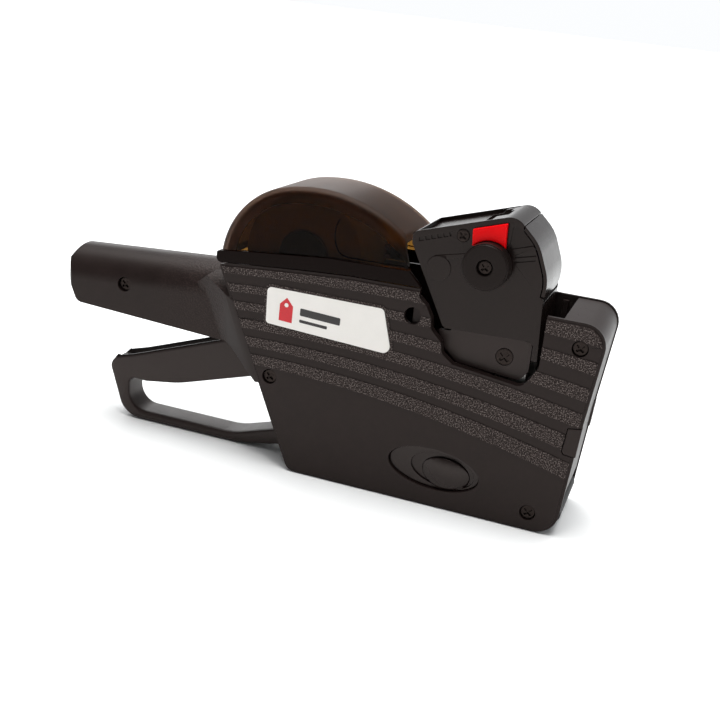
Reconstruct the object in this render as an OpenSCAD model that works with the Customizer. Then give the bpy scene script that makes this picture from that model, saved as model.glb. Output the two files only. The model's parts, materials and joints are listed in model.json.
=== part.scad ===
// Hand-held price labelling gun: two-part casing with handle, squeeze lever,
// tilting print head, domed roll cover, label path and bottom door.
// Millimetres. +X towards the nose, +Z up, the right side faces -Y.

/* [Casing] */
// Width over the two casing halves
body_w = 45; // [45:0.5:48]
// Radius of the screw counterbores
counterbore_r = 3.3; // [3:0.1:3.5]

/* [Lever] */
// Width of the lever and its finger loop
lever_w = 14; // [12:0.5:14]

/* [Print head] */
// Number of printing bands
columns = 8; // [4:1:8]
// Radius of the selector knob
knob_r = 9.4; // [8:0.1:9.6]

/* [Labels] */
// Outer radius of the label roll
roll_r = 25.5; // [16:0.5:26]
// Width of the label roll
roll_w = 34; // [20:1:34]
// Radius of the applicator roller
applicator_r = 4.2; // [3:0.1:4.3]

/* [Hidden] */

$fn = 48;
eps = 0.01;
gap = 0.3;                    // between faces of separate pieces
run = 0.05;                   // radial play of a running fit
hw = body_w/2;
y_rim = hw - 0.9;             // stepped border of the casing side
y_face = hw - 0.45;           // smooth side face
y_band = hw;                  // grained bands
y_in = hw - 2.5;              // inner face of the side wall
y_block = hw - 4.4;           // inner face of the head guide block
head_hw = 17.75;              // half width over the print head
skin = 1;                     // print head side skins
leg_out = head_hw - skin - run;
leg_in = leg_out - 2.1;

// ---------- outline helpers (points are [x, z] or [x, z, corner radius]) ----------
function unit(v) = v/norm(v);
function corner(a, b, c, r, n) = r <= 0 ? [b] :
    let(u = unit(a - b), v = unit(c - b), half = acos(u*v)/2, t = r/tan(half),
        m = b + unit(u + v)*r/sin(half), p = b + u*t - m, q = b + v*t - m,
        a0 = atan2(p[1], p[0]), d = ((atan2(q[1], q[0]) - a0 + 540)%360) - 180)
    [for (i = [0:n]) m + r*[cos(a0 + d*i/n), sin(a0 + d*i/n)]];
function xy(p) = [p[0], p[1]];
function rounded(P, n = 8) = let(k = len(P)) [for (i = [0:k - 1])
    each corner(xy(P[(i + k - 1)%k]), xy(P[i]), xy(P[(i + 1)%k]),
        len(P[i]) > 2 ? P[i][2] : 0, n)];
// moves every edge of a counter-clockwise outline inwards by d and rounds what is left
function inset(P, d) = let(k = len(P)) [for (i = [0:k - 1])
    let(e = unit(xy(P[i]) - xy(P[(i + k - 1)%k])), f = unit(xy(P[(i + 1)%k]) - xy(P[i])),
        m = [-e[1], e[0]], w = [-f[1], f[0]], q = xy(P[i]) + d*(m + w)/(1 + m*w),
        r = len(P[i]) > 2 ? P[i][2] : 0)
    [q[0], q[1], r == 0 ? 0 : max(r - d, 0)]];
function shape(P, d = 0) = rounded(inset(P, d));
function ellipse_pts(x, z, a, b, tilt, n = 48) = [for (i = [0:n - 1])
    let(t = 360*i/n) [x + a*cos(t)*cos(tilt) - b*sin(t)*sin(tilt),
        z + a*cos(t)*sin(tilt) + b*sin(t)*cos(tilt)]];

module slab(P, y0, y1) translate([0, y1, 0]) rotate([90, 0, 0])
    linear_extrude(height = y1 - y0) polygon(P);
module rod(x, z, r, y0, y1) translate([x, y1, z]) rotate([90, 0, 0])
    cylinder(r = r, h = y1 - y0);
module both() { children(); mirror([0, 1, 0]) children(); }
module cross_slot(x, z, y, size, deep) for (t = [45, 135])
    translate([x, y, z]) rotate([0, t, 0]) cube([size, 2*deep, size*0.22], center = true);

// ---------- shared places ----------
pivot = [-17.6, 41.2];        // lever pivot
head_pivot = [80.6, 69.6];    // print head pivot
knob_at = [69.1, 106];        // selector axis
ink_at = [84.5, 104];         // ink roller axis
ink_hinge = [91.15, 95.4];     // ink cover hinge
bar_at = [86.5, 74];          // print bar
tip_at = [-5.6, 37.2];        // lever end of the drive link
crank_at = [80.6, 54.6];      // head end of the drive link
cover_hinge = [-44.2, 89.2];
roll_at = [-9, 95.5];
door_hinge = [13, 3.2];
feed_at = [102.5, 40];
applicator_at = [109.6, 8.6];
screw_at = [[-17.6, 41.2], [100.8, 7.8], [110.1, 80.5]];
handle_screw = [-94.1, 66.3];
rear_foot = -5.7;
rear_top = [-45.3, 86.7];
rear_tilt = atan((rear_foot - rear_top[0])/rear_top[1]);
slot_hw = 8.3;                // half width of the lever's slot

body = [[rear_foot, 0, 5], [112.8, 0, 10], [116, 45], [120.6, 90.8, 9], [95, 90.8],
    [44, 91.9], [14, 91.4], [-8, 89.9], [rear_top[0], rear_top[1], 1.4]];
pocket = rounded([[43.9, 96], [43.9, 88.5, 2], [47.3, 85.6, 2], [49.9, 81], [50.6, 76.2, 2],
    [55.2, 71.8, 1.5], [56.2, 67.2, 2.5], [61.1, 63.6, 2], [90.3, 60.2, 4.5],
    [95.6, 69.5, 6], [95.6, 96]]);
tab = [[110, 37.6], [110.9, 36.3], [115.8, 35.8], [116.5, 48.2], [111, 47.4]];
plate_pts = [[-21.1, 65, 1.6], [35.4, 62.3, 3], [30, 81, 2], [-21.6, 80.8, 2]];
head = [[53.7, 77.6], [55, 76.7], [89.3, 78], [91.3, 76.6], [91.4, 70.4],
    [93.9, 70.4], [92.4, 94], [93.1, 103.2, 18], [87.6, 116.9, 18], [77.2, 126.55, 7],
    [36.7, 113.6, 2.5], [36.9, 109, 2]];
head_core = [[54.8, 60], [92.4, 60], [90.9, 94], [91.6, 103, 16.5], [86.3, 116, 16.5],
    [76.8, 124.85, 5.5], [38.4, 112.5, 1], [38.5, 109.4, 1], [54.8, 79]];
pad = rounded([[87.8, 61, 3], [91, 65.5, 2], [90.9, 77.6, 2], [66, 76.6], [52, 75.6, 0.6],
    [55.6, 68.5, 2], [61.8, 62.9, 2.5]]);

// ---------- grained bands on the casing sides ----------
bands = 6;
function through(x, z0, z1, z2) =             // parabola through x = -40, 40 and 117
    z0*(x - 40)*(x - 117)/(-80*-157) + z1*(x + 40)*(x - 117)/(80*-77)
    + z2*(x + 40)*(x - 40)/(157*77);
function band_top(i, x) = i == 0 ? 100
    : through(x, 86.2 - 7.4*i, 89.6 - 8.55*i, 87.3 - 11*i);
function band_low(i, x) = through(x, 83 - 7.6*i, 86.2 - 9*i, 82.7 - 11.56*i);
function rear_x(z) = rear_foot - z*tan(rear_tilt);
function band(i) = let(xt = rear_x(band_top(i == 0 ? 0 : i, -30)) + 1.4,
    xl = rear_x(band_low(i, -30)) + 1.4, xr = 122, n = 12) concat(
    [for (k = [0:n]) let(x = xl + (xr - xl)*k/n) [x, band_low(i, x)]],
    [for (k = [0:n]) let(x = xr + (xt - xr)*k/n) [x, band_top(i, x)]]);

// ---------- handle ----------
handle_r = 15;                // half width and crown radius
handle_tilt = 4;
handle_end = -124.9;
handle = [[-118.3, 53.8, 4], [-44, 50.2], [-20, 46], [-20, 95], [-110, 84.5, 8],
    [-121.5, 81, 8], [-125.4, 69.5, 8]];
// round-topped section, run along the handle
module crown(r, w) translate([-57, 0, 83.1 - handle_r]) rotate([0, 90 - handle_tilt, 0])
    translate([0, 0, -80]) linear_extrude(height = 160) polygon(concat(
        [for (i = [0:40]) [r*cos(90 + 4.5*i), w*sin(90 + 4.5*i)]], [[60, -w], [60, w]]));
module handle_shape(d) intersection() {
    slab(shape(handle, d), -handle_r - 1, 0);
    crown(handle_r - d, handle_r - d);
    translate([0, 0, 30]) linear_extrude(height = 70) polygon(shape([
        [handle_end, -handle_r - 2, 9], [0, -handle_r - 2], [0, 30], [handle_end, 30]], d));
}
module rear_prism(P, from, to) translate([rear_foot, 0, 0]) rotate([0, -rear_tilt, 0])
    translate([0, 0, from]) linear_extrude(height = to - from) polygon(P);

// ---------- casing ----------
module side_plate() intersection() {
    slab(shape(body), -y_band, -y_in);
    union() {
        slab(shape(body), -y_rim, -y_in);
        slab(shape(body, 1.1), -y_face, -y_rim + eps);
        intersection() {
            slab(shape(body, 1.3), -y_band, -y_face + eps);
            union() for (i = [0:bands - 1]) slab(band(i), -y_band, -y_face + eps);
        }
    }
}
module casing_half(seen) difference() {
    union() {
        side_plate();
        if (seen) slab(shape(plate_pts, -1.2), -y_band, -y_face + eps);
        // guide block round the head pocket
        slab([[41.5, 59.4], [98, 58.6], [98, 88.5], [41.5, 88.5]], -y_in - eps, -y_block);
        // rear wall
        rear_prism([[0, -y_in - eps], [2.4, -y_in - eps], [2.4, 0], [0, 0]], 4, 93.5);
        // ears for the cover's hinge pins
        slab([[-44, 84], [-40.4, 84], [-42.4, 89.2], [-46, 89.2]], -13.8, -9.8);
        rod(cover_hinge[0], cover_hinge[1], 1.8, -13.8, -9.8);
        // floor behind the door
        slab([[-2, 0], [9.6, 0], [9.6, 2], [-2, 2]], -y_in - eps, 0);
        // blend from the side into the handle
        intersection() {
            rear_prism(concat([[-17, -13]], [for (t = [0:0.1:1]) [-17 + 18.5*t,
                -14.6 - (y_face - 14.6)*(3*t*t - 2*t*t*t)]], [[3.4, -y_face], [3.4, -13]]), 36, 94);
            slab(rounded([[-80, 52.3], [-41, 50.9, 14], [-24.4, 37], [-10, 40], [-20, 60],
                [-43.5, 86], [-66, 68]]), -y_face, 0);
            crown(handle_r + 0.3, y_face + 0.1);
        }
        difference() {
            handle_shape(0);
            handle_shape(2.4);
            rear_prism([[1.2, -30], [40, -30], [40, 1], [1.2, 1]], 0, 120);
        }
        for (p = screw_at) rod(p[0], p[1], 3.6, -y_in - eps, p == pivot ? -9 : 0);
        rod(handle_screw[0], handle_screw[1], 3.6, -handle_r + 1.5, 0);
        // bearings of the feed shaft and applicator axle
        rod(feed_at[0], feed_at[1], 4, -y_in - eps, -y_in + 2.4);
    }
    // the head pocket is open only on the right side
    slab(pocket, seen ? -hw - 1 : -y_in - 0.2, -y_block + 1);
    slab(shape(tab, -0.25), -hw - 1, -y_in + 1);
    slab(ellipse_pts(59.2, 16.8, 19.8, 8.9, -3), -hw - 1, -y_in + 1);
    for (p = concat(screw_at, [handle_screw])) {
        top = p == handle_screw ? handle_r : hw;
        if (seen) rod(p[0], p[1], counterbore_r, -top - 1, -top + 3.2);
        rod(p[0], p[1], 1.6, seen ? -top - 1 : -top + 2.2, 1);
    }
    // plain access hole
    rod(42.2, 80.4, 3.57, -hw - 1, -y_block - 1.2);
    // relief round the lever's bushing and spring
    rod(pivot[0], pivot[1], 5.2, -8.95, 1);
    // lever slot under the handle
    slab([[-112, 40], [-32, 40], [-9, 3], [12, 3], [12, 66], [-112, 66]], -slot_hw, 1);
    // seats of the cover's hinge barrels, and the ears' pin bores
    rod(cover_hinge[0], cover_hinge[1], 3.1, -hw - 1, -13.8);
    rod(cover_hinge[0], cover_hinge[1], 1.02, -14, -9);
    rod(feed_at[0], feed_at[1], 1.55, -y_in - 0.5, 0);
    slab([[rear_foot - 60, -5], [140, -5], [140, 0], [rear_foot - 60, 0]], -hw, 0);
}
module right_casing() color("dimgray") casing_half(true);
module left_casing() color("gray") mirror([0, 1, 0]) casing_half(false);

module pan_screw(x, z, y_head, y_end, head_r, shank_r) difference() {
    union() {
        rod(x, z, head_r, y_head, y_head + 1.7);
        rod(x, z, shank_r, y_head + 1.6, y_end);
    }
    cross_slot(x, z, y_head, head_r*1.3, 0.9);
}
module casing_screws() color("silver") {
    for (p = screw_at) pan_screw(p[0], p[1], -hw + 1.4, 14, counterbore_r - 0.35, 1.5);
    pan_screw(handle_screw[0], handle_screw[1], -handle_r + 1.4, 10, counterbore_r - 0.35, 1.5);
}

// ---------- front cover ----------
module front_cover() color("darkgray") union() {
    intersection() {
        difference() {
            slab(shape(body, 0.5), -y_in + run, y_in - run);
            slab(shape(body, 2.3), -hw, hw);
        }
        slab([[105, 15.6], [130, 15.6], [130, 95], [101.6, 95], [101.6, 60], [105, 50]], -hw, hw);
    }
    both() slab(tab, -y_face, -y_in + 2);
}

// ---------- nameplate ----------
module nameplate() color("white") slab(shape(plate_pts), -y_band - 0.25, -y_band);

// ---------- bottom door ----------
module bottom_door() color("darkslategray") difference() {
    union() {
        slab([[14, 0.5], [103, 0.5], [103, 2.5], [13, 2.5]], -y_in + gap, y_in - gap);
        rod(door_hinge[0], door_hinge[1], 2.6, -y_in + gap, y_in - gap);
        both() slab([[54, 2.4], [65, 2.4], [63, 12], [56, 12]], -15, -13.2);
        both() slab([[24, 2.4], [96, 2.4], [96, 4], [24, 4]], -13.2, -11.8);
    }
    rod(door_hinge[0], door_hinge[1], 1.25 + run, -hw, hw);
}
module door_hinge_pin() color("silver")
    rod(door_hinge[0], door_hinge[1], 1.25, -y_in, y_in);

// ---------- latch buttons ----------
module latch_button() {
    difference() {
        union() {
            slab(ellipse_pts(59.2, 16.8, 19.5, 8.6, -3), -y_in - 0.6, -y_in + 0.4);
            slab(ellipse_pts(59.2, 16.8, 20.8, 9.8, -3), -y_in + 0.3, -y_in + 1.6);
        }
        // well round the pad
        slab(ellipse_pts(62.9, 16.6, 13.8, 7.2, -5), -hw, -y_in + 0.6);
    }
    intersection() {
        slab(ellipse_pts(64.4, 15.5, 10.4, 6.7, -6), -y_face, -y_in + 0.9);
        translate([64.4, 24 - y_face, 15.5]) sphere(r = 24);
    }
}
module right_latch_button() color("slategray") latch_button();
module left_latch_button() color("slategray") mirror([0, 1, 0]) latch_button();

// ---------- roll cover ----------
crest = [-4.5, 60.3];         // centre of the long crest arc
crest_r = 64;
heel_r = 35.5;                // radius of the rear arc
heel_at = crest + (crest_r - heel_r)*[cos(102.5), sin(102.5)];
dome_hw = hw - 2;
dome_round = 4;
front_end = [[33.6, 112.6], [38.1, 98.2]];
base_line = [[-48, 91.8], [-29, 94], [4.6, 97.4], [38, 98.2]];
module rib_section(r, hwid, c) union() {        // half disc slice with rounded rim
    translate([0, -hwid]) square([r - c, 2*hwid]);
    translate([0, c - hwid]) square([r, 2*(hwid - c)]);
    for (s = [-1, 1]) translate([r - c, s*(hwid - c)]) circle(c);
}
module lobe(at, r, from, to, hwid, c) translate([at[0], 0, at[1]]) rotate([90, 0, 0])
    rotate([0, 0, from]) rotate_extrude(angle = to - from, $fn = 96)
    intersection() { rib_section(r, hwid, c); translate([0, -60]) square([200, 120]); }
// the heel is a hair smaller, so that its surfaces end inside the crest
module dome_solid(d) union() {
    lobe(crest, crest_r - d, 40, 103, dome_hw - d, dome_round - d);
    lobe(heel_at, heel_r - d - 0.04, 101, 180, dome_hw - d - 0.04, dome_round - d);
}
module above_base(drop) slab([[-48 + drop, 91.8 - drop], base_line[1] - [0, drop],
    base_line[2] - [0, drop], base_line[3] - [0, drop], front_end[0], [33, 130], [-60, 130],
    [-60, 91.8 - drop]], -hw, hw);
module cover_dome() color([0.45, 0.3, 0.15, 0.6]) difference() {
    intersection() { dome_solid(0); above_base(0); }
    dome_solid(1.8);
}
frame_pts = [[cover_hinge[0], 86.95], [-8, 90.2], [14, 91.75], [44.1, 92.3], base_line[3] + [0.3, -0.1],
    base_line[2] - [0, 0.1], base_line[1] - [0, 0.1], [-45.9, 91.85], [-46.65, 91.1], [-46.65, 89.2]];
module cover_frame() color([0.15, 0.08, 0.05]) difference() {
    union() {
        both() slab(frame_pts, -hw + 1, -hw + 3);
        both() rod(cover_hinge[0], cover_hinge[1], 2.5, -hw + 1, -14.1);
        // strip under the back of the dome
        slab([[-46, 91], [-38.4, 92], [-38.4, 92.75], [-46, 91.75]], -hw + 2.9, hw - 2.9);
    }
    rod(cover_hinge[0], cover_hinge[1], 1 + run, -hw + 1.7, hw - 1.7);
}
module cover_hinge_pins() color("silver") both()
    rod(cover_hinge[0], cover_hinge[1], 1, -hw + 1.8, -9.8);

// ---------- label roll ----------
hub_r = 9.4;
holder_in = 17.3;
holder_out = 18.4;
module roll_holders() color("black") both() union() {
    slab([[-18, 62], [0, 62], [-4, 90], [-14, 90]], -holder_out, -holder_in);
    rod(roll_at[0], roll_at[1], 10.4, -holder_out, -holder_in);
    rod(roll_at[0], roll_at[1], hub_r, -holder_in - eps, -12);
    slab([[-18, 62], [0, 62], [-2, 76], [-16, 76]], -y_in, -holder_out + eps);
}
module label_roll() color("ivory") difference() {
    rod(roll_at[0], roll_at[1], roll_r, -roll_w/2, roll_w/2);
    rod(roll_at[0], roll_at[1], hub_r + 1.6, -hw, hw);
}
module roll_core() color("tan") difference() {
    rod(roll_at[0], roll_at[1], hub_r + 1.6, -roll_w/2, roll_w/2);
    rod(roll_at[0], roll_at[1], hub_r + run, -hw, hw);
}

// ---------- lever ----------
lever_out = rounded([[-105, 24.5, 4.5], [-96.2, 0.1, 11], [-36, 0.1, 30], [-14, 4.2, 12],
    [4, 12, 6], [-1.5, 38, 3], [-11, 49.5, 5], [-26, 55.6, 8], [-92, 31.4, 20], [-101.5, 28.6, 3]]);
loop_in = rounded([[-94.2, 19.6, 3], [-93.6, 4.5, 8.5], [-40, 4.5, 30], [-19, 11.2, 12],
    [-6, 16.5, 5], [-13, 30.5, 2], [-20, 33, 3], [-30.5, 33.8, 6], [-69, 21.6, 60], [-86, 19, 10]]);
module trigger_lever() color("darkslateblue") difference() {
    slab(lever_out, -lever_w/2, lever_w/2);
    slab(loop_in, -hw, hw);
    // open channel along the top of the bar
    slab([[-112, 26.8], [-88, 27], [-36, 44.9], [-30, 60], [-112, 60]],
        -lever_w/2 + 2.4, lever_w/2 - 2.4);
    rod(pivot[0], pivot[1], 4 + run, -hw, hw);
    rod(tip_at[0], tip_at[1], 2.02, -hw, hw);
}
module trigger_bushing() color("silver") difference() {
    rod(pivot[0], pivot[1], 4, -8.9, 8.9);
    rod(pivot[0], pivot[1], 1.55, -hw, hw);
}
module trigger_spring() color("silver") for (i = [0:2])
    translate([pivot[0], 7.4 + 0.55*i, pivot[1]]) rotate([90, 0, 0])
        rotate_extrude() translate([4.6, 0]) circle(r = 0.25, $fn = 16);
module trigger_link_pin() color("silver") rod(tip_at[0], tip_at[1], 2, -lever_w/2, y_in - 1.2);

// ---------- drive link, open at its head end ----------
link_in = leg_out + 0.3;
link_out = y_in - 1.4;
module drive_link() color("goldenrod") {
    d = crank_at - tip_at;
    n = unit([-d[1], d[0]]);
    difference() {
        union() {
            slab([tip_at - 2.4*n, crank_at - 2.4*n, crank_at + 2.4*n, tip_at + 2.4*n],
                link_in, link_out);
            rod(tip_at[0], tip_at[1], 3.6, link_in, link_out);
            rod(crank_at[0], crank_at[1], 3.6, link_in, link_out);
        }
        rod(tip_at[0], tip_at[1], 2 + run, 0, hw);
        rod(crank_at[0], crank_at[1], 2.3, 0, hw);
    }
}

// ---------- print head ----------
module leg(crank) difference() {
    union() {
        slab(pad, -leg_out, -leg_in);
        slab([[57.5, 76], [88.5, 76], [88.5, 92], [57.5, 92]], -leg_out, -leg_in);
        if (crank) {
            slab([[76.8, 54.6], [84.4, 54.6], [84.4, 64], [76.8, 64]], -leg_out, -leg_in);
            rod(crank_at[0], crank_at[1], 3.8, -leg_out, -leg_in);
            rod(crank_at[0], crank_at[1], 1.6, -link_out, -leg_in);
        }
    }
    rod(head_pivot[0], head_pivot[1], 2.55 + run, -hw, 0);
    rod(head_pivot[0], head_pivot[1], 3.7, -hw, -leg_out + 1);
}
module head_yoke() color("steelblue") {
    union() {
        leg(false);
        mirror([0, 1, 0]) leg(true);
        rod(62, 84, 2.2, -leg_in - eps, leg_in + eps);
    }
}
module head_pivot_screws() color("silver") both() difference() {
    union() {
        rod(head_pivot[0], head_pivot[1], 3.5, -leg_out, -leg_out + 0.95);
        rod(head_pivot[0], head_pivot[1], 2.55, -leg_out + 0.9, -leg_in + 0.27);
        rod(head_pivot[0], head_pivot[1], 1.6, -leg_in + 0.2, -11.2);
    }
    cross_slot(head_pivot[0], head_pivot[1], -leg_out, 4.6, 0.6);
}
// where the ink cover sits, from the height z up
function head_zone(z) = [[80.9, 140], [80.9, 120.6], [78.5, 118.8], [86, z], [96, z], [110, 110]];
module head_housing() color("midnightblue") difference() {
    union() {
        // side skins
        both() slab(shape(head), -head_hw, -head_hw + skin);
        // rear wall, deck, hood and front wall between the skins
        difference() {
            slab(shape(head), -head_hw + skin - eps, head_hw - skin + eps);
            slab(shape(head_core), -hw, hw);
            slab([[39, 108.6], [72, 120.4], [72, 140], [39, 140]], -hw, hw);
        }
        // sunk deck with the reading window
        slab([[38, 110.7], [72.5, 121.7], [72.9, 123.4], [37.8, 112.2]], -head_hw + skin - eps,
            head_hw - skin + eps);
        both() slab([[64, 118.6], [71.5, 121], [72.4, 124.8], [67, 123]], -head_hw + skin - eps, -6);
        // raised boss and lug on the sides
        both() rod(49.1, 100.7, 5.1, -head_hw - 0.5, -head_hw + eps);
        both() slab([[49, 103], [52, 104.7], [60, 107.1], [60.3, 108], [59.6, 108.6],
            [51.4, 106.7], [46.6, 105.5]], -head_hw - 0.4, -head_hw + eps);
    }
    // ink cover opening
    slab([[80.6, 140], [80.6, 120.9], [78.2, 119], [85.7, 93.9], [96, 93.9], [110, 110]],
        -head_hw + skin - eps, head_hw - skin + eps);
    both() difference() {
        slab([[80.6, 140], [80.6, 118.9], [88, ink_hinge[1]], [96, ink_hinge[1]], [110, 110]],
            -hw, -head_hw + skin + eps);
        slab(shape(head_core, 0.3), -hw, 0);
        rod(ink_hinge[0], ink_hinge[1], 1.15, -hw, 0);
    }
    // reading window in the deck
    translate([68.4, -4, 100]) rotate([0, -17.8, 0]) cube([9, 17, 40]);
    // selector bore, side recess, ledges and the marked slot
    rod(knob_at[0], knob_at[1], 3 + run, -hw, 0);
    both() slab(rounded([[76, 113], [85.8, 116.2], [80.6, 121.9, 2], [76.4, 122.6, 1]]),
        -hw, -head_hw + 0.7);
    both() for (k = [0, 1]) slab([[78.8, 110.2 - 2*k], [86.9, 112.4 - 2*k], [86.7, 113.3 - 2*k],
        [78.8, 111.2 - 2*k]], -hw, -head_hw + 0.4);
    both() difference() {
        slab([[39.7, 110.2], [52.4, 114.3], [52.7, 116], [39.6, 111.8]], -hw, -head_hw + 0.5);
        for (k = [0:4]) translate([42 + 2.4*k, -head_hw + 0.1, 111.3 + 0.78*k])
            rotate([0, -17.8, 0]) cube([0.7, 1, 4], center = true);
    }
    both() rod(57.3, 115.5, 2.6, -hw, -head_hw + 0.7);
    // ink roller axle and ink cover pin
    rod(ink_at[0], ink_at[1], 1.02, -head_hw + 0.4, head_hw - 0.4);
    rod(ink_hinge[0], ink_hinge[1], 0.52, -head_hw + 0.4, head_hw - 0.4);
}
module head_screws() color("silver") both() difference() {
    rod(57.3, 115.5, 2.5, -head_hw - 0.3, -head_hw + 0.7);
    cross_slot(57.3, 115.5, -head_hw - 0.3, 3.2, 0.6);
}
module window_scale() color("white") translate([62.3, -3.7, 116.6]) rotate([0, -17.8, 0])
    cube([6.6, 16.2, 0.8]);
module ink_cover() color("gray") difference() {
    union() {
        intersection() {
            difference() {
                slab(shape(head), -head_hw, head_hw);
                slab(shape(head_core, -0.1), -hw, hw);
            }
            union() {
                slab(head_zone(ink_hinge[1] + 1.4), -hw, hw);
                slab(head_zone(ink_hinge[1]), -head_hw + skin + gap, head_hw - skin - gap);
            }
        }
        rod(ink_hinge[0], ink_hinge[1], 1.2, -head_hw + skin + gap, head_hw - skin - gap);
    }
    rod(ink_hinge[0], ink_hinge[1], 0.5 + run, -hw, hw);
}
module ink_cover_pin() color("silver")
    rod(ink_hinge[0], ink_hinge[1], 0.5, -head_hw + 0.5, head_hw - 0.5);
module ink_roller() color("purple") difference() {
    rod(ink_at[0], ink_at[1], 4.4, -11.5, 11.5);
    rod(ink_at[0], ink_at[1], 1 + run, -hw, hw);
}
module ink_roller_axle() color("silver")
    rod(ink_at[0], ink_at[1], 1, -head_hw + 0.5, head_hw - 0.5);

pitch = 2.75;
band_w = 2.5;
wheel_r = 8.1;
function belt(a, ra, b, rb) = let(d = b - a, L = norm(d), dir = atan2(d[1], d[0]),
    t = acos((ra - rb)/L), n = 14) concat(
    [for (i = [0:n]) let(k = dir + t + (360 - 2*t)*i/n) a + ra*[cos(k), sin(k)]],
    [for (i = [0:n]) let(k = dir - t + 2*t*i/n) b + rb*[cos(k), sin(k)]]);
function column_y(i) = (i - (columns - 1)/2)*pitch - band_w/2;
module type_wheels() color("white") for (i = [0:columns - 1]) difference() {
    rod(knob_at[0], knob_at[1], wheel_r, column_y(i), column_y(i) + band_w);
    rod(knob_at[0], knob_at[1], 3 + 2*run, -hw, hw);
}
module type_bands() color("dimgray") for (i = [0:columns - 1]) difference() {
    slab(belt(knob_at, wheel_r + 1.1, bar_at, 3.3), column_y(i), column_y(i) + band_w);
    slab(belt(knob_at, wheel_r + 0.15, bar_at, 2.25), -hw, hw);
}
module print_bar() color("silver") rod(bar_at[0], bar_at[1], 2.1, -leg_in, leg_in);

// ---------- selector ----------
knob_y = -head_hw - 0.85;
knob_deep = 7.4;
module selector_shaft() color("silver") union() {
    rod(knob_at[0], knob_at[1], 3, knob_y + 0.02, 15.5);
    rod(knob_at[0], knob_at[1], 1.8, knob_y - 4, knob_y + 0.1);
}
module position_pointer() color("red") difference() {
    union() {
        slab([[61.2, 119], [62.3, 108], [75.2, 108], [74.4, 123.3]], -head_hw - 2.6, -head_hw - 0.2);
        rod(knob_at[0], knob_at[1], 5.5, knob_y + 0.15, -head_hw - 0.2);
    }
    rod(knob_at[0], knob_at[1], knob_r + gap, -hw - 5, knob_y + 0.15);
    rod(knob_at[0], knob_at[1], 3.02, -hw - 5, 0);
}
module selector_knob() color("dimgray") difference() {
    union() {
        rod(knob_at[0], knob_at[1], knob_r, knob_y - knob_deep + 0.8, knob_y);
        rod(knob_at[0], knob_at[1], knob_r - 0.6, knob_y - knob_deep, knob_y - 1);
    }
    rod(knob_at[0], knob_at[1], 3.2, knob_y - knob_deep - 1, knob_y - knob_deep + 2.6);
    rod(knob_at[0], knob_at[1], 1.8 + run, -hw - 10, 0);
}
module knob_screw() color("silver") difference() {
    union() {
        rod(knob_at[0], knob_at[1], 2.6, knob_y - knob_deep + 1.2, knob_y - knob_deep + 2.55);
        rod(knob_at[0], knob_at[1], 1.5, knob_y - knob_deep + 2.5, knob_y - 4.1);
    }
    cross_slot(knob_at[0], knob_at[1], knob_y - knob_deep + 1.2, 3.4, 0.8);
}

// ---------- printing and feeding parts fixed in the casing ----------
ear_in = 11.5;
ear_out = leg_in - 0.3;
module platen_bracket() color("silver") difference() {
    union() {
        both() slab([[76.9, 69.6], [77.5, 58], [86, 46], [95, 46], [95, 52], [90, 54.5], [90, 69.2],
            [85.8, 69.2], [84.4, 66]], -ear_out, -ear_in);
        both() rod(head_pivot[0], head_pivot[1], 4.9, -ear_out, -ear_in);
        slab([[84, 65.5], [90, 65.5], [90, 69.2], [84.6, 69.2], [83.9, 67.5]], -ear_out, ear_out);
        slab([[88, 46], [95, 46], [95, 52], [88, 52]], -y_in, y_in);
    }
    rod(head_pivot[0], head_pivot[1], 1.65, -hw, hw);
}
module guide_pins() color("silver") {
    rod(40, 55.5, 2.5, -y_in, y_in);
    rod(102.5, 60, 2.5, -y_in, y_in);
}
module feed_sprocket() color("lightgray") difference() {
    union() {
        rod(feed_at[0], feed_at[1], 7, -9, 9);
        for (i = [0:11], y = [-7, 7]) translate([feed_at[0], y, feed_at[1]])
            rotate([0, 30*i, 0]) translate([6.5, 0, 0]) rotate([0, 90, 0])
            cylinder(r1 = 1.1, r2 = 0.6, h = 2);
    }
    rod(feed_at[0], feed_at[1], 1.5 + run, -hw, hw);
}
module feed_shaft() color("silver") rod(feed_at[0], feed_at[1], 1.5, -y_in - 0.4, y_in + 0.4);
module peel_plate() color("silver")
    slab([[94, 15.6], [110.4, 13.9], [112.6, 13.6], [112.6, 14.3], [110.5, 14.9], [94, 16.6]],
        -y_in, y_in);
module applicator_roller() color("black") difference() {
    rod(applicator_at[0], applicator_at[1], applicator_r, -y_in + 1, y_in - 1);
    rod(applicator_at[0], applicator_at[1], 1.5 + run, -hw, hw);
}
module applicator_axle() color("silver")
    rod(applicator_at[0], applicator_at[1], 1.5, -y_in, y_in);

right_casing();
left_casing();
casing_screws();
front_cover();
bottom_door();
door_hinge_pin();
right_latch_button();
left_latch_button();
nameplate();
cover_frame();
cover_dome();
cover_hinge_pins();
roll_holders();
label_roll();
roll_core();
trigger_lever();
trigger_bushing();
trigger_spring();
trigger_link_pin();
drive_link();
head_yoke();
head_pivot_screws();
head_housing();
head_screws();
window_scale();
ink_cover();
ink_cover_pin();
ink_roller();
ink_roller_axle();
type_wheels();
type_bands();
print_bar();
selector_shaft();
position_pointer();
selector_knob();
knob_screw();
platen_bracket();
guide_pins();
feed_sprocket();
feed_shaft();
peel_plate();
applicator_roller();
applicator_axle();
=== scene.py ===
import json
import math

import bmesh
import bpy
from mathutils import Matrix, Vector


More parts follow.
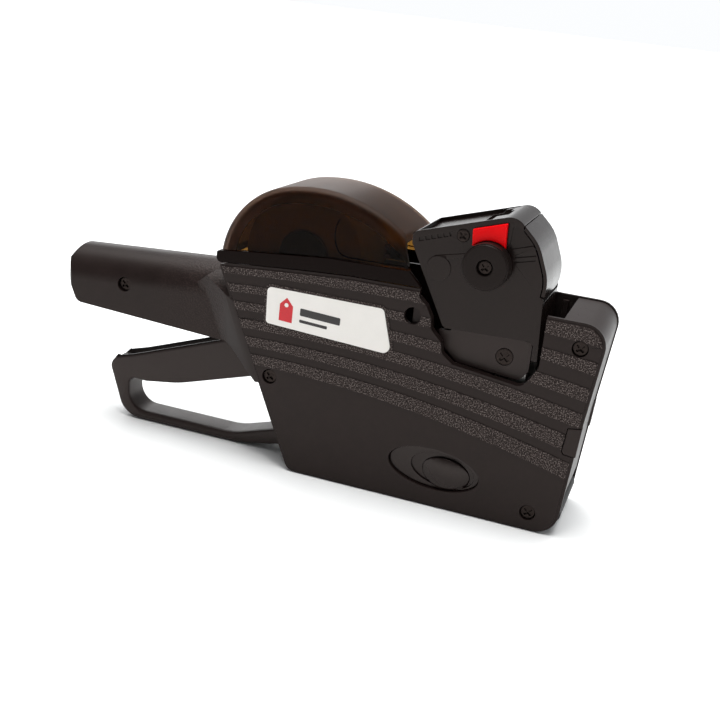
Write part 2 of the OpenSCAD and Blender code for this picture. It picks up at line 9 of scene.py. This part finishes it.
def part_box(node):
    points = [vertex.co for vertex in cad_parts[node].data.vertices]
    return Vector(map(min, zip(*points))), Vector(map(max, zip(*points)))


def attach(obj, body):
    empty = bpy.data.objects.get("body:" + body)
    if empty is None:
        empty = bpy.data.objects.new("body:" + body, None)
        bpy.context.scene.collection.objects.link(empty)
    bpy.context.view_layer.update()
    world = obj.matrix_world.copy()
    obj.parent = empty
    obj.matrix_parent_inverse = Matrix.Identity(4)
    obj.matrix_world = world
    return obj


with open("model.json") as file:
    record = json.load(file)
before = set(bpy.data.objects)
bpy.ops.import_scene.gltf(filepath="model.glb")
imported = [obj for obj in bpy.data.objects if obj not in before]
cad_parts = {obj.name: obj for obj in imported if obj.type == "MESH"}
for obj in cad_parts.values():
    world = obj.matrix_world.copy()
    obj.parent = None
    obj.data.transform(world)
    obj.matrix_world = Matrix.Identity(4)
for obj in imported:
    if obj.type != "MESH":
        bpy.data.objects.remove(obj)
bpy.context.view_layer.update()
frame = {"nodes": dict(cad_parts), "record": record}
NODES = frame["nodes"]
MM = 0.001


# ---------------------------------------------------------------- camera
YAW, PITCH, ROLL = (math.radians(a) for a in (17.3, 18.36, 6.56))
CAMERA_AT = Vector((151.07, -435.88, 201.08))        # mm
fwd = Vector((-math.sin(YAW) * math.cos(PITCH), math.cos(YAW) * math.cos(PITCH),
              -math.sin(PITCH)))
level = Vector((math.cos(YAW), math.sin(YAW), 0))
down = fwd.cross(level)
right = math.cos(ROLL) * level - math.sin(ROLL) * down
up = -fwd.cross(right)
camera = bpy.data.objects.new("camera", bpy.data.cameras.new("camera"))
bpy.context.scene.collection.objects.link(camera)
turned = Matrix((right, up, -fwd)).transposed().to_4x4()
camera.matrix_world = Matrix.Translation(CAMERA_AT * MM) @ turned
camera.data.lens = 55
camera.data.sensor_width = 36
camera.data.clip_start = 0.02
bpy.context.scene.camera = camera


# ---------------------------------------------------------------- material helpers
class Num:
    """A number socket that can be used in arithmetic."""

    def __init__(self, tree, socket):
        self.tree, self.socket = tree, socket

    def op(self, kind, *others):
        node = self.tree.nodes.new("ShaderNodeMath")
        node.operation = kind
        for spot, x in zip(node.inputs, (self, *others)):
            if isinstance(x, Num):
                self.tree.links.new(x.socket, spot)
            else:
                spot.default_value = x
        return Num(self.tree, node.outputs[0])

    def __add__(self, o): return self.op("ADD", o)
    def __sub__(self, o): return self.op("SUBTRACT", o)
    def __mul__(self, o): return self.op("MULTIPLY", o)
    def __abs__(self): return self.op("ABSOLUTE")

    def step(self, low, high, to_low=0.0, to_high=1.0):
        """Smooth change from to_low to to_high while the number goes from low to high."""
        node = self.tree.nodes.new("ShaderNodeMapRange")
        node.interpolation_type = "SMOOTHSTEP"
        self.tree.links.new(self.socket, node.inputs["Value"])
        limits = {"From Min": low, "From Max": high, "To Min": to_low, "To Max": to_high}
        for name, x in limits.items():
            node.inputs[name].default_value = x
        return Num(self.tree, node.outputs[0])


class Surface:
    """A Principled material, with the object's coordinates for procedural detail."""

    def __init__(self, name, color, rough, **sockets):
        self.mat = bpy.data.materials.new(name)
        self.mat.use_nodes = True
        self.mat.diffuse_color = (*color, 1)
        self.tree = self.mat.node_tree
        self.bsdf = self.tree.nodes["Principled BSDF"]
        self.bsdf.inputs["Base Color"].default_value = (*color, 1)
        self.bsdf.inputs["Roughness"].default_value = rough
        for key, value in sockets.items():
            self.bsdf.inputs[key.replace("_", " ")].default_value = value
        self.coords = self.tree.nodes.new("ShaderNodeTexCoord").outputs["Object"]
        split = self.tree.nodes.new("ShaderNodeSeparateXYZ")
        self.tree.links.new(self.coords, split.inputs[0])
        self.x, self.y, self.z = (Num(self.tree, s) for s in split.outputs)
        self.normal = None

    def noise(self, size_mm, detail=2.0, rough=0.5, stretch=(1, 1, 1), distort=0.0):
        """Noise whose blobs are about size_mm across."""
        vector = self.coords
        if stretch != (1, 1, 1):
            mapping = self.tree.nodes.new("ShaderNodeMapping")
            mapping.inputs["Scale"].default_value = stretch
            self.tree.links.new(vector, mapping.inputs["Vector"])
            vector = mapping.outputs[0]
        node = self.tree.nodes.new("ShaderNodeTexNoise")
        node.inputs["Scale"].default_value = 1 / (size_mm * MM)
        node.inputs["Detail"].default_value = detail
        node.inputs["Roughness"].default_value = rough
        node.inputs["Distortion"].default_value = distort
        self.tree.links.new(vector, node.inputs["Vector"])
        return Num(self.tree, node.outputs[0])

    def pebbles(self, size_mm):
        """Rounded cells about size_mm across."""
        node = self.tree.nodes.new("ShaderNodeTexVoronoi")
        node.feature = "SMOOTH_F1"
        node.inputs["Scale"].default_value = 1 / (size_mm * MM)
        self.tree.links.new(self.coords, node.inputs["Vector"])
        return Num(self.tree, node.outputs["Distance"])

    def rough(self, value):
        self.tree.links.new(value.socket, self.bsdf.inputs["Roughness"])

    def tint(self, mask, *colors):
        """Colour ramp over mask, from the first colour to the last."""
        node = self.tree.nodes.new("ShaderNodeValToRGB")
        ramp = node.color_ramp
        while len(ramp.elements) < len(colors):
            ramp.elements.new(0.5)
        for i, c in enumerate(colors):
            ramp.elements[i].position = i / (len(colors) - 1)
            ramp.elements[i].color = (*c, 1)
        self.tree.links.new(mask.socket, node.inputs[0])
        self.tree.links.new(node.outputs[0], self.bsdf.inputs["Base Color"])

    def blend(self, mask, a, b):
        """Colour a where mask is 0 and colour b where it is 1."""
        node = self.tree.nodes.new("ShaderNodeMix")
        node.data_type = "RGBA"
        factor, first, second = node.inputs[0], node.inputs[6], node.inputs[7]
        self.tree.links.new(mask.socket, factor)
        first.default_value, second.default_value = (*a, 1), (*b, 1)
        self.tree.links.new(node.outputs[2], self.bsdf.inputs["Base Color"])

    def bump(self, height, depth_mm):
        """Adds a bump on top of the ones before it."""
        node = self.tree.nodes.new("ShaderNodeBump")
        node.inputs["Distance"].default_value = depth_mm * MM
        node.inputs["Strength"].default_value = 1.0
        self.tree.links.new(height.socket, node.inputs["Height"])
        if self.normal:
            self.tree.links.new(self.normal, node.inputs["Normal"])
        self.normal = node.outputs[0]
        self.tree.links.new(self.normal, self.bsdf.inputs["Normal"])


def scaled(c, k):
    """The colour c, k times as bright."""
    return tuple(min(1.0, x * k) for x in c)


# ---------------------------------------------------------------- materials
CASE = (0.0125, 0.0080, 0.0073)
TINT = (1.0, 0.90, 0.85, 1)
# light colour of the painted glints on the grained bands
BAND_PAINTED_GLINT = (0.160, 0.134, 0.124)
BAND_SIDE = (0.02232, 0.02242)      # the grained bands are further out than this


def moulded(name, color, rough, fine=0.02, spec=0.16, dust=0.06):
    """Moulded plastic: fine spark texture, mottled gloss, faint dust and hairline scratches."""
    s = Surface(name, color, rough, Specular_IOR_Level=spec, Specular_Tint=TINT)
    mottle, dusty = s.noise(9, 4), s.noise(2.2, 5, 0.65)
    scratches = s.noise(1.6, 2, 0.5, (1, 1, 22), 0.3).step(0.66, 0.72)
    s.tint((mottle * 0.6) + (dusty * 0.4), scaled(color, 0.8), color, scaled(color, 1 + 4 * dust))
    s.rough((mottle * 0.14) + (scratches * 0.1) + (dusty * 0.08) + (rough - 0.12))
    s.bump(s.noise(0.35, 2), fine)
    s.bump(scratches, -0.004)
    return s.mat


def casing_material():
    """Satin sides with grained bands, and a lightly grained patch on the handle; the grain carries
    painted glints as bright flecks in its colour.
    """
    s = Surface("casing_plastic", CASE, 0.42, Specular_IOR_Level=0.18, Specular_Tint=TINT)
    on_band = abs(s.y).step(*BAND_SIDE)
    # grained patch of the handle, fading out towards its end
    on_handle = s.x.step(-0.088, -0.052) * s.x.step(-0.0405, -0.044)
    grain = (on_band + (on_handle * 0.35)).op("MINIMUM", 1.0)
    fleck = s.noise(0.5, 2, 0.5)
    bumps = s.pebbles(0.8) + (fleck * 0.8)
    mottle, dusty = s.noise(11, 4), s.noise(1.8, 5, 0.65)
    # bright flecks painted into the grain's colour stand in for the glints of its relief (painted
    # highlights); below they are mixed with the real mottle and dust
    painted_glint = fleck.step(0.46, 0.61) * grain
    painted_glint_and_mottle = (painted_glint * 0.85) + (mottle * 0.14) + (dusty * 0.1) - (grain * 0.08)
    s.tint(painted_glint_and_mottle, scaled(CASE, 0.6), scaled(CASE, 2.6), BAND_PAINTED_GLINT)
    scratches = s.noise(1.4, 2, 0.5, (1, 1, 18), 0.3).step(0.67, 0.73)
    s.rough((grain * 0.12) + (mottle * 0.12) + (scratches * 0.12) + (dusty * 0.06) + 0.27)
    s.bump(s.noise(0.3, 2), 0.012)
    s.bump(bumps * grain, 0.3)
    return s.mat


CREST = (-0.0045, 0.0603, 0.064)     # centre x, z and radius of the dome's long front arc
HEEL = (-0.01099, 0.08959, 0.034)    # and roughly of its rear arc
SPLIT = (0.976, 0.2164)              # direction along which the front arc takes over
WINDOW_IN = (-0.0062, -0.0068)       # the clear window starts this far inside the arcs


def dome_material():
    """Smoked acrylic: clear sides inside a satin border, satin crown."""
    s = Surface("smoked_acrylic", (0.2, 0.09, 0.02), 0.1, IOR=1.14, Transmission_Weight=1.0,
                Specular_Tint=TINT)

    def inside(x, z, radius):
        dx, dz = s.x - x, s.z - z
        return ((dx * dx) + (dz * dz)).op("SQRT") - radius

    crest, heel = inside(*CREST), inside(*HEEL)
    along = ((s.x - CREST[0]) * SPLIT[0]) + ((s.z - CREST[1]) * SPLIT[1])
    front = along.step(-0.0005, 0.0005)
    depth = (crest * front) + (heel * (front.op("MULTIPLY_ADD", -1.0, 1.0)))
    window = depth.step(*WINDOW_IN)
    satin = s.noise(0.25, 2)
    s.rough((window * -0.36) + (satin * 0.05) + (s.noise(6, 3) * 0.05) + 0.34)
    s.blend(window, (0.128, 0.079, 0.058), (0.13, 0.062, 0.011))
    s.bump(satin * (window.op("MULTIPLY_ADD", -1.0, 1.0)), 0.015)
    s.bump(s.noise(0.9, 3, 0.7).step(0.70, 0.78), 0.01)
    return s.mat


def metal(name, color, rough, brushed=(1, 1, 1)):
    """Worn metal with blotched tone and fine lines."""
    s = Surface(name, color, rough, Metallic=1.0)
    lines, blot = s.noise(0.9, 3, 0.6, brushed), s.noise(3, 4)
    s.tint((lines * 0.6) + (blot * 0.4), scaled(color, 0.6), color, scaled(color, 1.3))
    s.rough((blot * 0.2) + (lines * 0.1) + (rough - 0.1))
    s.bump(lines, 0.008)
    return s.mat


ROLL_AT = (-0.009, 0.0955)           # axis of the label roll, x and z
LAYER_PHASE = 9000.0                 # radians per metre of radius


def paper(name, color, wound_roll=False):
    """Faintly fibrous paper or film, with the turns of a wound roll on its ends."""
    s = Surface(name, color, 0.5, Specular_IOR_Level=0.4)
    fibre, blot = s.noise(0.3, 3, 0.6), s.noise(6, 3)
    s.tint((fibre * 0.5) + (blot * 0.5), scaled(color, 0.9), color, scaled(color, 1.05))
    s.rough((fibre * 0.1) + (blot * 0.1) + 0.32)
    if wound_roll:
        dx, dz = s.x - ROLL_AT[0], s.z - ROLL_AT[1]
        radius = ((dx * dx) + (dz * dz)).op("SQRT")
        wound = (radius * LAYER_PHASE).op("SINE")
        s.bump(wound, 0.03)
        s.blend(wound.step(-1, 1), scaled(color, 0.72), color)
    s.bump(fibre, 0.006)
    return s.mat


def rubber(name, color):
    """Dull, speckled and slightly rough."""
    s = Surface(name, color, 0.7, Specular_IOR_Level=0.3)
    speck = s.noise(0.5, 4, 0.7)
    s.tint(speck, scaled(color, 0.6), scaled(color, 1.6))
    s.rough((speck * 0.2) + 0.55)
    s.bump(speck, 0.03)
    return s.mat


def glossy(name, color, rough, spec):
    """Glossy plastic, a little uneven, with fine dust and hairline scratches."""
    s = Surface(name, color, rough, Specular_IOR_Level=spec, Specular_Tint=TINT)
    mottle, hair = s.noise(12, 4), s.noise(1.2, 2, 0.5, (1, 1, 26), 0.4).step(0.68, 0.74)
    dusty = s.noise(1.1, 6, 0.7).step(0.60, 0.80)
    s.tint((mottle * 0.5) + (dusty * 0.5), scaled(color, 0.85), color, scaled(color, 2.2))
    s.rough((mottle * 0.1) + (hair * 0.12) + (dusty * 0.12) + (rough - 0.05))
    s.bump(s.noise(4.5, 2), 0.012)
    s.bump(hair, -0.004)
    return s.mat


M = {
    "casing_plastic": casing_material(),
    "lever_plastic": moulded("lever_plastic", (0.019, 0.0125, 0.0115), 0.36, 0.02, 0.26),
    "cover_plastic": glossy("front_plastic", (0.018, 0.012, 0.011), 0.42, 0.2),
    "head_plastic": glossy("head_plastic", (0.0095, 0.0058, 0.0052), 0.22, 0.2),
    "dome_plastic": dome_material(),
    "frame_plastic": glossy("frame_plastic", (0.0035, 0.0011, 0.0008), 0.25, 0.07),
    "knob_plastic": moulded("knob_plastic", (0.008, 0.0052, 0.0046), 0.40, 0.02, 0.14),
    "red_plastic": glossy("red_plastic", (0.85, 0.002, 0.005), 0.30, 0.08),
    "inner_plastic": moulded("inner_plastic", (0.010, 0.007, 0.006), 0.55),
    "wheel_plastic": moulded("wheel_plastic", (0.60, 0.58, 0.53), 0.45, 0.01, 0.3, 0.01),
    "screw_steel": metal("dark_screw_steel", (0.026, 0.020, 0.018), 0.36),
    "steel": metal("plain_steel", (0.52, 0.51, 0.49), 0.32, (1, 6, 1)),
    "rubber": rubber("black_rubber", (0.018, 0.018, 0.018)),
    "ink_foam": rubber("ink_foam", (0.02, 0.012, 0.05)),
    "sticker": paper("sticker_film", (0.80, 0.77, 0.73)),
    "label_paper": paper("label_paper", (0.80, 0.78, 0.72), True),
    "core_card": paper("core_card", (0.38, 0.27, 0.16)),
}
latch_plastic = glossy("latch_plastic", (0.013, 0.0080, 0.0073), 0.22, 0.3)
for sub in frame["record"]["subparts"]:
    mesh = NODES[sub["node"]].data
    mesh.materials.clear()
    is_latch = sub["node"].endswith("latch_button")
    mesh.materials.append(latch_plastic if is_latch else M[sub["material_slot"]])


# ---------------------------------------------------------------- finishing of the CAD nodes
BEVEL_ANGLE, SMOOTH_ANGLE = math.radians(34), math.radians(38)


def finish_node(name, width_mm):
    """Rounded edges and smooth shading by modifiers, without moving the node's own vertices."""
    o = NODES[name]
    mesh = o.data
    if "custom_normal" in mesh.attributes:
        mesh.attributes.remove(mesh.attributes["custom_normal"])
    mesh.polygons.foreach_set("use_smooth", [True] * len(mesh.polygons))
    weld = o.modifiers.new("weld", "WELD")
    weld.merge_threshold = 2e-6
    if width_mm:
        bevel = o.modifiers.new("bevel", "BEVEL")
        bevel.width, bevel.segments = width_mm * MM, 2
        bevel.limit_method, bevel.angle_limit = "ANGLE", BEVEL_ANGLE
        bevel.use_clamp_overlap = False
        bevel.loop_slide = False
        bevel.miter_outer = "MITER_ARC"
    split = o.modifiers.new("split", "EDGE_SPLIT")
    split.split_angle = SMOOTH_ANGLE
    split.use_edge_sharp = False
    flat = o.modifiers.new("normals", "WEIGHTED_NORMAL")
    flat.keep_sharp = True
    flat.weight = 70


# bevel width of each node in mm, where it isn't PLAIN_BEVEL
PLAIN_BEVEL = 0.15
BEVELS = {
    "right_casing": 0.1, "left_casing": 0.1, "head_housing": 0.14, "trigger_lever": 1.6,
    "front_cover": 0.3, "bottom_door": 0.3, "ink_cover": 0.2, "position_pointer": 0.3,
    "selector_knob": 0.4, "cover_frame": 0.2, "head_yoke": 0.0, "right_latch_button": 0.25,
    "left_latch_button": 0.25, "cover_dome": 0.0, "casing_screws": 0.2, "head_screws": 0.2,
    "head_pivot_screws": 0.2, "nameplate": 0.06, "type_bands": 0.0, "trigger_spring": 0.0,
    "feed_sprocket": 0.0, "label_roll": 0.1,
}
for node in NODES:
    finish_node(node, BEVELS.get(node, PLAIN_BEVEL))


# ---------------------------------------------------------------- pieces made here
def piece(name, bm, material, body):
    """New object from bm, which is freed, riding on body."""
    mesh = bpy.data.meshes.new(name)
    bmesh.ops.recalc_face_normals(bm, faces=bm.faces)
    bm.to_mesh(mesh)
    bm.free()
    o = bpy.data.objects.new(name, mesh)
    bpy.context.scene.collection.objects.link(o)
    mesh.materials.append(material)
    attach(o, body)
    return o


def smooth(o):
    o.data.polygons.foreach_set("use_smooth", [True] * len(o.data.polygons))


def outline_solid(bm, points, place, depth):
    """Closed solid from an outline: place(u, v, w) puts it in the frame, w goes from 0 to depth."""
    low = [bm.verts.new(place(u, v, 0)) for u, v in points]
    top = [bm.verts.new(place(u, v, depth)) for u, v in points]
    bm.faces.new(low)
    bm.faces.new(list(reversed(top)))
    for i in range(len(points)):
        j = (i + 1) % len(points)
        bm.faces.new((low[j], low[i], top[i], top[j]))


def rounded_box(u0, v0, u1, v1, r, n=5):
    """Outline of a box from (u0, v0) to (u1, v1) with corners of radius r."""
    left, right, bottom, top = u0 + r, u1 - r, v0 + r, v1 - r
    out = []
    for cu, cv, a in ((right, bottom, -90), (right, top, 0), (left, top, 90), (left, bottom, 180)):
        for i in range(n + 1):
            t = math.radians(a + 90 * i / n)
            out.append((cu + r * math.cos(t), cv + r * math.sin(t)))
    return out


# generic tag pictogram and plain bars printed on the sticker
sticker_low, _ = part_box("nameplate")
STICKER_RISE, STICKER_SLOPE = 2.7, 0.048      # lower edge at the left end in mm, and its fall
INK = 0.00006                                 # thickness of the print in metres
SUNK = 0.00002                                # and how deep it sits in the sticker


def on_sticker(u, v, w):
    """u from the sticker's left edge, v from its lower edge, in mm; w outwards in metres."""
    return Vector((sticker_low.x + u * MM, sticker_low.y - w + SUNK,
                   sticker_low.z + (v + STICKER_RISE - u * STICKER_SLOPE) * MM))


def art(name, outlines, color):
    """Printed shapes on the sticker."""
    s = Surface(name, color, 0.4, Specular_IOR_Level=0.4)
    ink = s.noise(0.5, 3)
    s.tint(ink, scaled(color, 0.85), color, scaled(color, 1.1))
    s.rough((ink * 0.15) + 0.3)
    bm = bmesh.new()
    for outline in outlines:
        outline_solid(bm, outline, on_sticker, INK)
    piece(name, bm, s.mat, "casing")


tag = [(6.2, 2.4), (12.2, 2.4), (12.2, 9.6), (9.2, 12.8), (6.2, 9.6)]
art("printed_tag", [tag], (0.55, 0.012, 0.02))
HOLE_AT, HOLE_R = (9.2, 9.6), 0.9
around = [math.radians(a) for a in range(0, 360, 24)]
hole = [(HOLE_AT[0] + HOLE_R * math.cos(a), HOLE_AT[1] + HOLE_R * math.sin(a)) for a in around]
hole_mesh = bmesh.new()
outline_solid(hole_mesh, hole, lambda u, v, w: on_sticker(u, v, w + INK), INK / 2)
piece("printed_tag_hole", hole_mesh, M["sticker"], "casing")
bars = [rounded_box(15.5, 6.6, 33.5, 9.8, 0.5), rounded_box(15.5, 3.6, 28.0, 4.9, 0.4)]
art("printed_bars", bars, (0.022, 0.019, 0.018))

# beads and bosses moulded on the dome's near and far side panel
dome_low, dome_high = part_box("cover_dome")
ROOT = 0.0001        # they reach this far into the panel
SIDES = (("near", dome_low.y, -1), ("far", dome_high.y, 1))
BOSS_R = 1.25


def dome_piece(name, bm, slot):
    smooth(piece(name, bm, M[slot], "roll_cover"))


def ridge(name, path, half, y, out):
    """Half-round bead of half width half along a path of (x, z), in mm, on the plane y in metres."""
    bm = bmesh.new()
    rings = []
    pts = [Vector((x, 0, z)) * MM for x, z in path]
    for i, p in enumerate(pts):
        t = (pts[min(i + 1, len(pts) - 1)] - pts[max(i - 1, 0)]).normalized()
        n = Vector((-t.z, 0, t.x))
        ring = []
        for k in range(7):
            a = math.pi * k / 6
            rise = Vector((0, y + out * half * MM * math.sin(a), 0))
            ring.append(bm.verts.new(p + n * half * MM * math.cos(a) + rise))
        rings.append(ring)
    for a, b in zip(rings, rings[1:]):
        for k in range(6):
            bm.faces.new((a[k], a[k + 1], b[k + 1], b[k]))
        bm.faces.new((a[6], a[0], b[0], b[6]))
    bm.faces.new(rings[0])
    bm.faces.new(list(reversed(rings[-1])))
    dome_piece(name, bm, "dome_plastic")


def button(name, x, z, radius, y, out):
    """Low round boss with a rounded rim at (x, z), in mm, on the plane y in metres."""
    bm = bmesh.new()
    profile = ((radius, 0.0), (radius, 0.25), (radius - 0.1, 0.38), (radius - 0.3, 0.45),
               (0.45, 0.45), (0.3, 0.36))
    turns = [math.tau * k / 24 for k in range(24)]
    rings = []
    for r, h in profile:
        rise = Vector((0, y + out * h * MM, 0))
        rings.append([bm.verts.new(Vector((x + r * math.cos(a), 0, z + r * math.sin(a))) * MM + rise)
                      for a in turns])
    for a, b in zip(rings, rings[1:]):
        for k in range(24):
            j = (k + 1) % 24
            bm.faces.new((a[k], a[j], b[j], b[k]))
    bm.faces.new(rings[0])
    bm.faces.new(list(reversed(rings[-1])))
    dome_piece(name, bm, "frame_plastic")


bead = [(6.4, 113.6), (5.2, 110.8), (5.0, 107.5), (5.4, 104.4), (6.3, 102.0), (7.6, 100.2),
        (9.4, 99.2), (12.0, 98.8), (19.0, 98.9), (28.0, 99.0), (36.0, 99.2)]
for side, y, out in SIDES:
    ridge("dome_bead_" + side, bead, 0.3, y - out * ROOT, out)
for side, y, out in SIDES:
    button("dome_boss_upper_" + side, 27.8, 106.2, BOSS_R, y - out * ROOT, out)
    button("dome_boss_lower_" + side, 28.1, 102.5, BOSS_R, y - out * ROOT, out)


# ---------------------------------------------------------------- floor, world and lights
FLOOR_AT, FLOOR_HALF = (0, 4, -0.0003), 9


def floor():
    """Plain pale paper, wide enough to reach the horizon behind the part."""
    bm = bmesh.new()
    bmesh.ops.create_grid(bm, x_segments=8, y_segments=8, size=FLOOR_HALF)
    mesh = bpy.data.meshes.new("floor")
    bm.to_mesh(mesh)
    bm.free()
    o = bpy.data.objects.new("floor", mesh)
    o.location = FLOOR_AT
    bpy.context.scene.collection.objects.link(o)
    s = Surface("floor_paper", (0.93, 0.94, 0.94), 0.75, Specular_IOR_Level=0.1)
    s.tint(s.noise(40, 3), (0.925, 0.935, 0.935), (0.935, 0.945, 0.945))
    mesh.materials.append(s.mat)


def softbox(name, place, aim, size, power, color=(1, 1, 1)):
    """Rectangular light of a size in metres and a power in watts, turned towards aim."""
    light = bpy.data.lights.new(name, "AREA")
    light.shape, light.size, light.size_y = "RECTANGLE", *size
    light.energy, light.color = power, color
    o = bpy.data.objects.new(name, light)
    bpy.context.scene.collection.objects.link(o)
    o.location = place
    o.rotation_mode = "QUATERNION"
    o.rotation_quaternion = (Vector(aim) - Vector(place)).to_track_quat("-Z", "Y")


def studio():
    """Room light: bright at the horizon behind the part, dim above and towards the camera."""
    world = bpy.data.worlds.new("studio")
    bpy.context.scene.world = world
    world.use_nodes = True
    tree = world.node_tree
    split = tree.nodes.new("ShaderNodeSeparateXYZ")
    tree.links.new(tree.nodes.new("ShaderNodeTexCoord").outputs["Generated"], split.inputs[0])
    _, y, z = (Num(tree, s) for s in split.outputs)
    horizon, overhead = z.step(0.02, 0.24, 1.0, 0.5), z.step(0.3, 0.9, 0.0, 0.12)
    glow = (horizon + overhead) * y.step(-0.45, 0.2, 0.36, 1.0)
    tree.links.new(glow.socket, tree.nodes["Background"].inputs["Strength"])
    tree.nodes["Background"].inputs["Color"].default_value = (0.97, 0.985, 1.0, 1)


def sun(name, towards, strength, angle):
    """Wide even light; the angle in degrees is how large it looks."""
    light = bpy.data.lights.new(name, "SUN")
    light.energy, light.angle = strength, math.radians(angle)
    o = bpy.data.objects.new(name, light)
    bpy.context.scene.collection.objects.link(o)
    o.rotation_mode = "QUATERNION"
    o.rotation_quaternion = Vector(towards).to_track_quat("-Z", "Y")


floor()
studio()
sun("overhead", (0.1, -0.12, -1.0), 3.0, 60)
softbox("near_top", (0.0, 0.10, 0.85), (0, 0.05, 0), (0.75, 0.75), 3.6)
softbox("left_back", (-0.95, 1.75, 0.75), (0, 0, 0.05), (1.1, 0.8), 5.0)
softbox("key", (0.05, -0.34, 1.1), (0.02, 0, 0.06), (0.16, 0.12), 1.5, (1.0, 0.97, 0.93))
bpy.context.scene.view_settings.view_transform = "Standard"
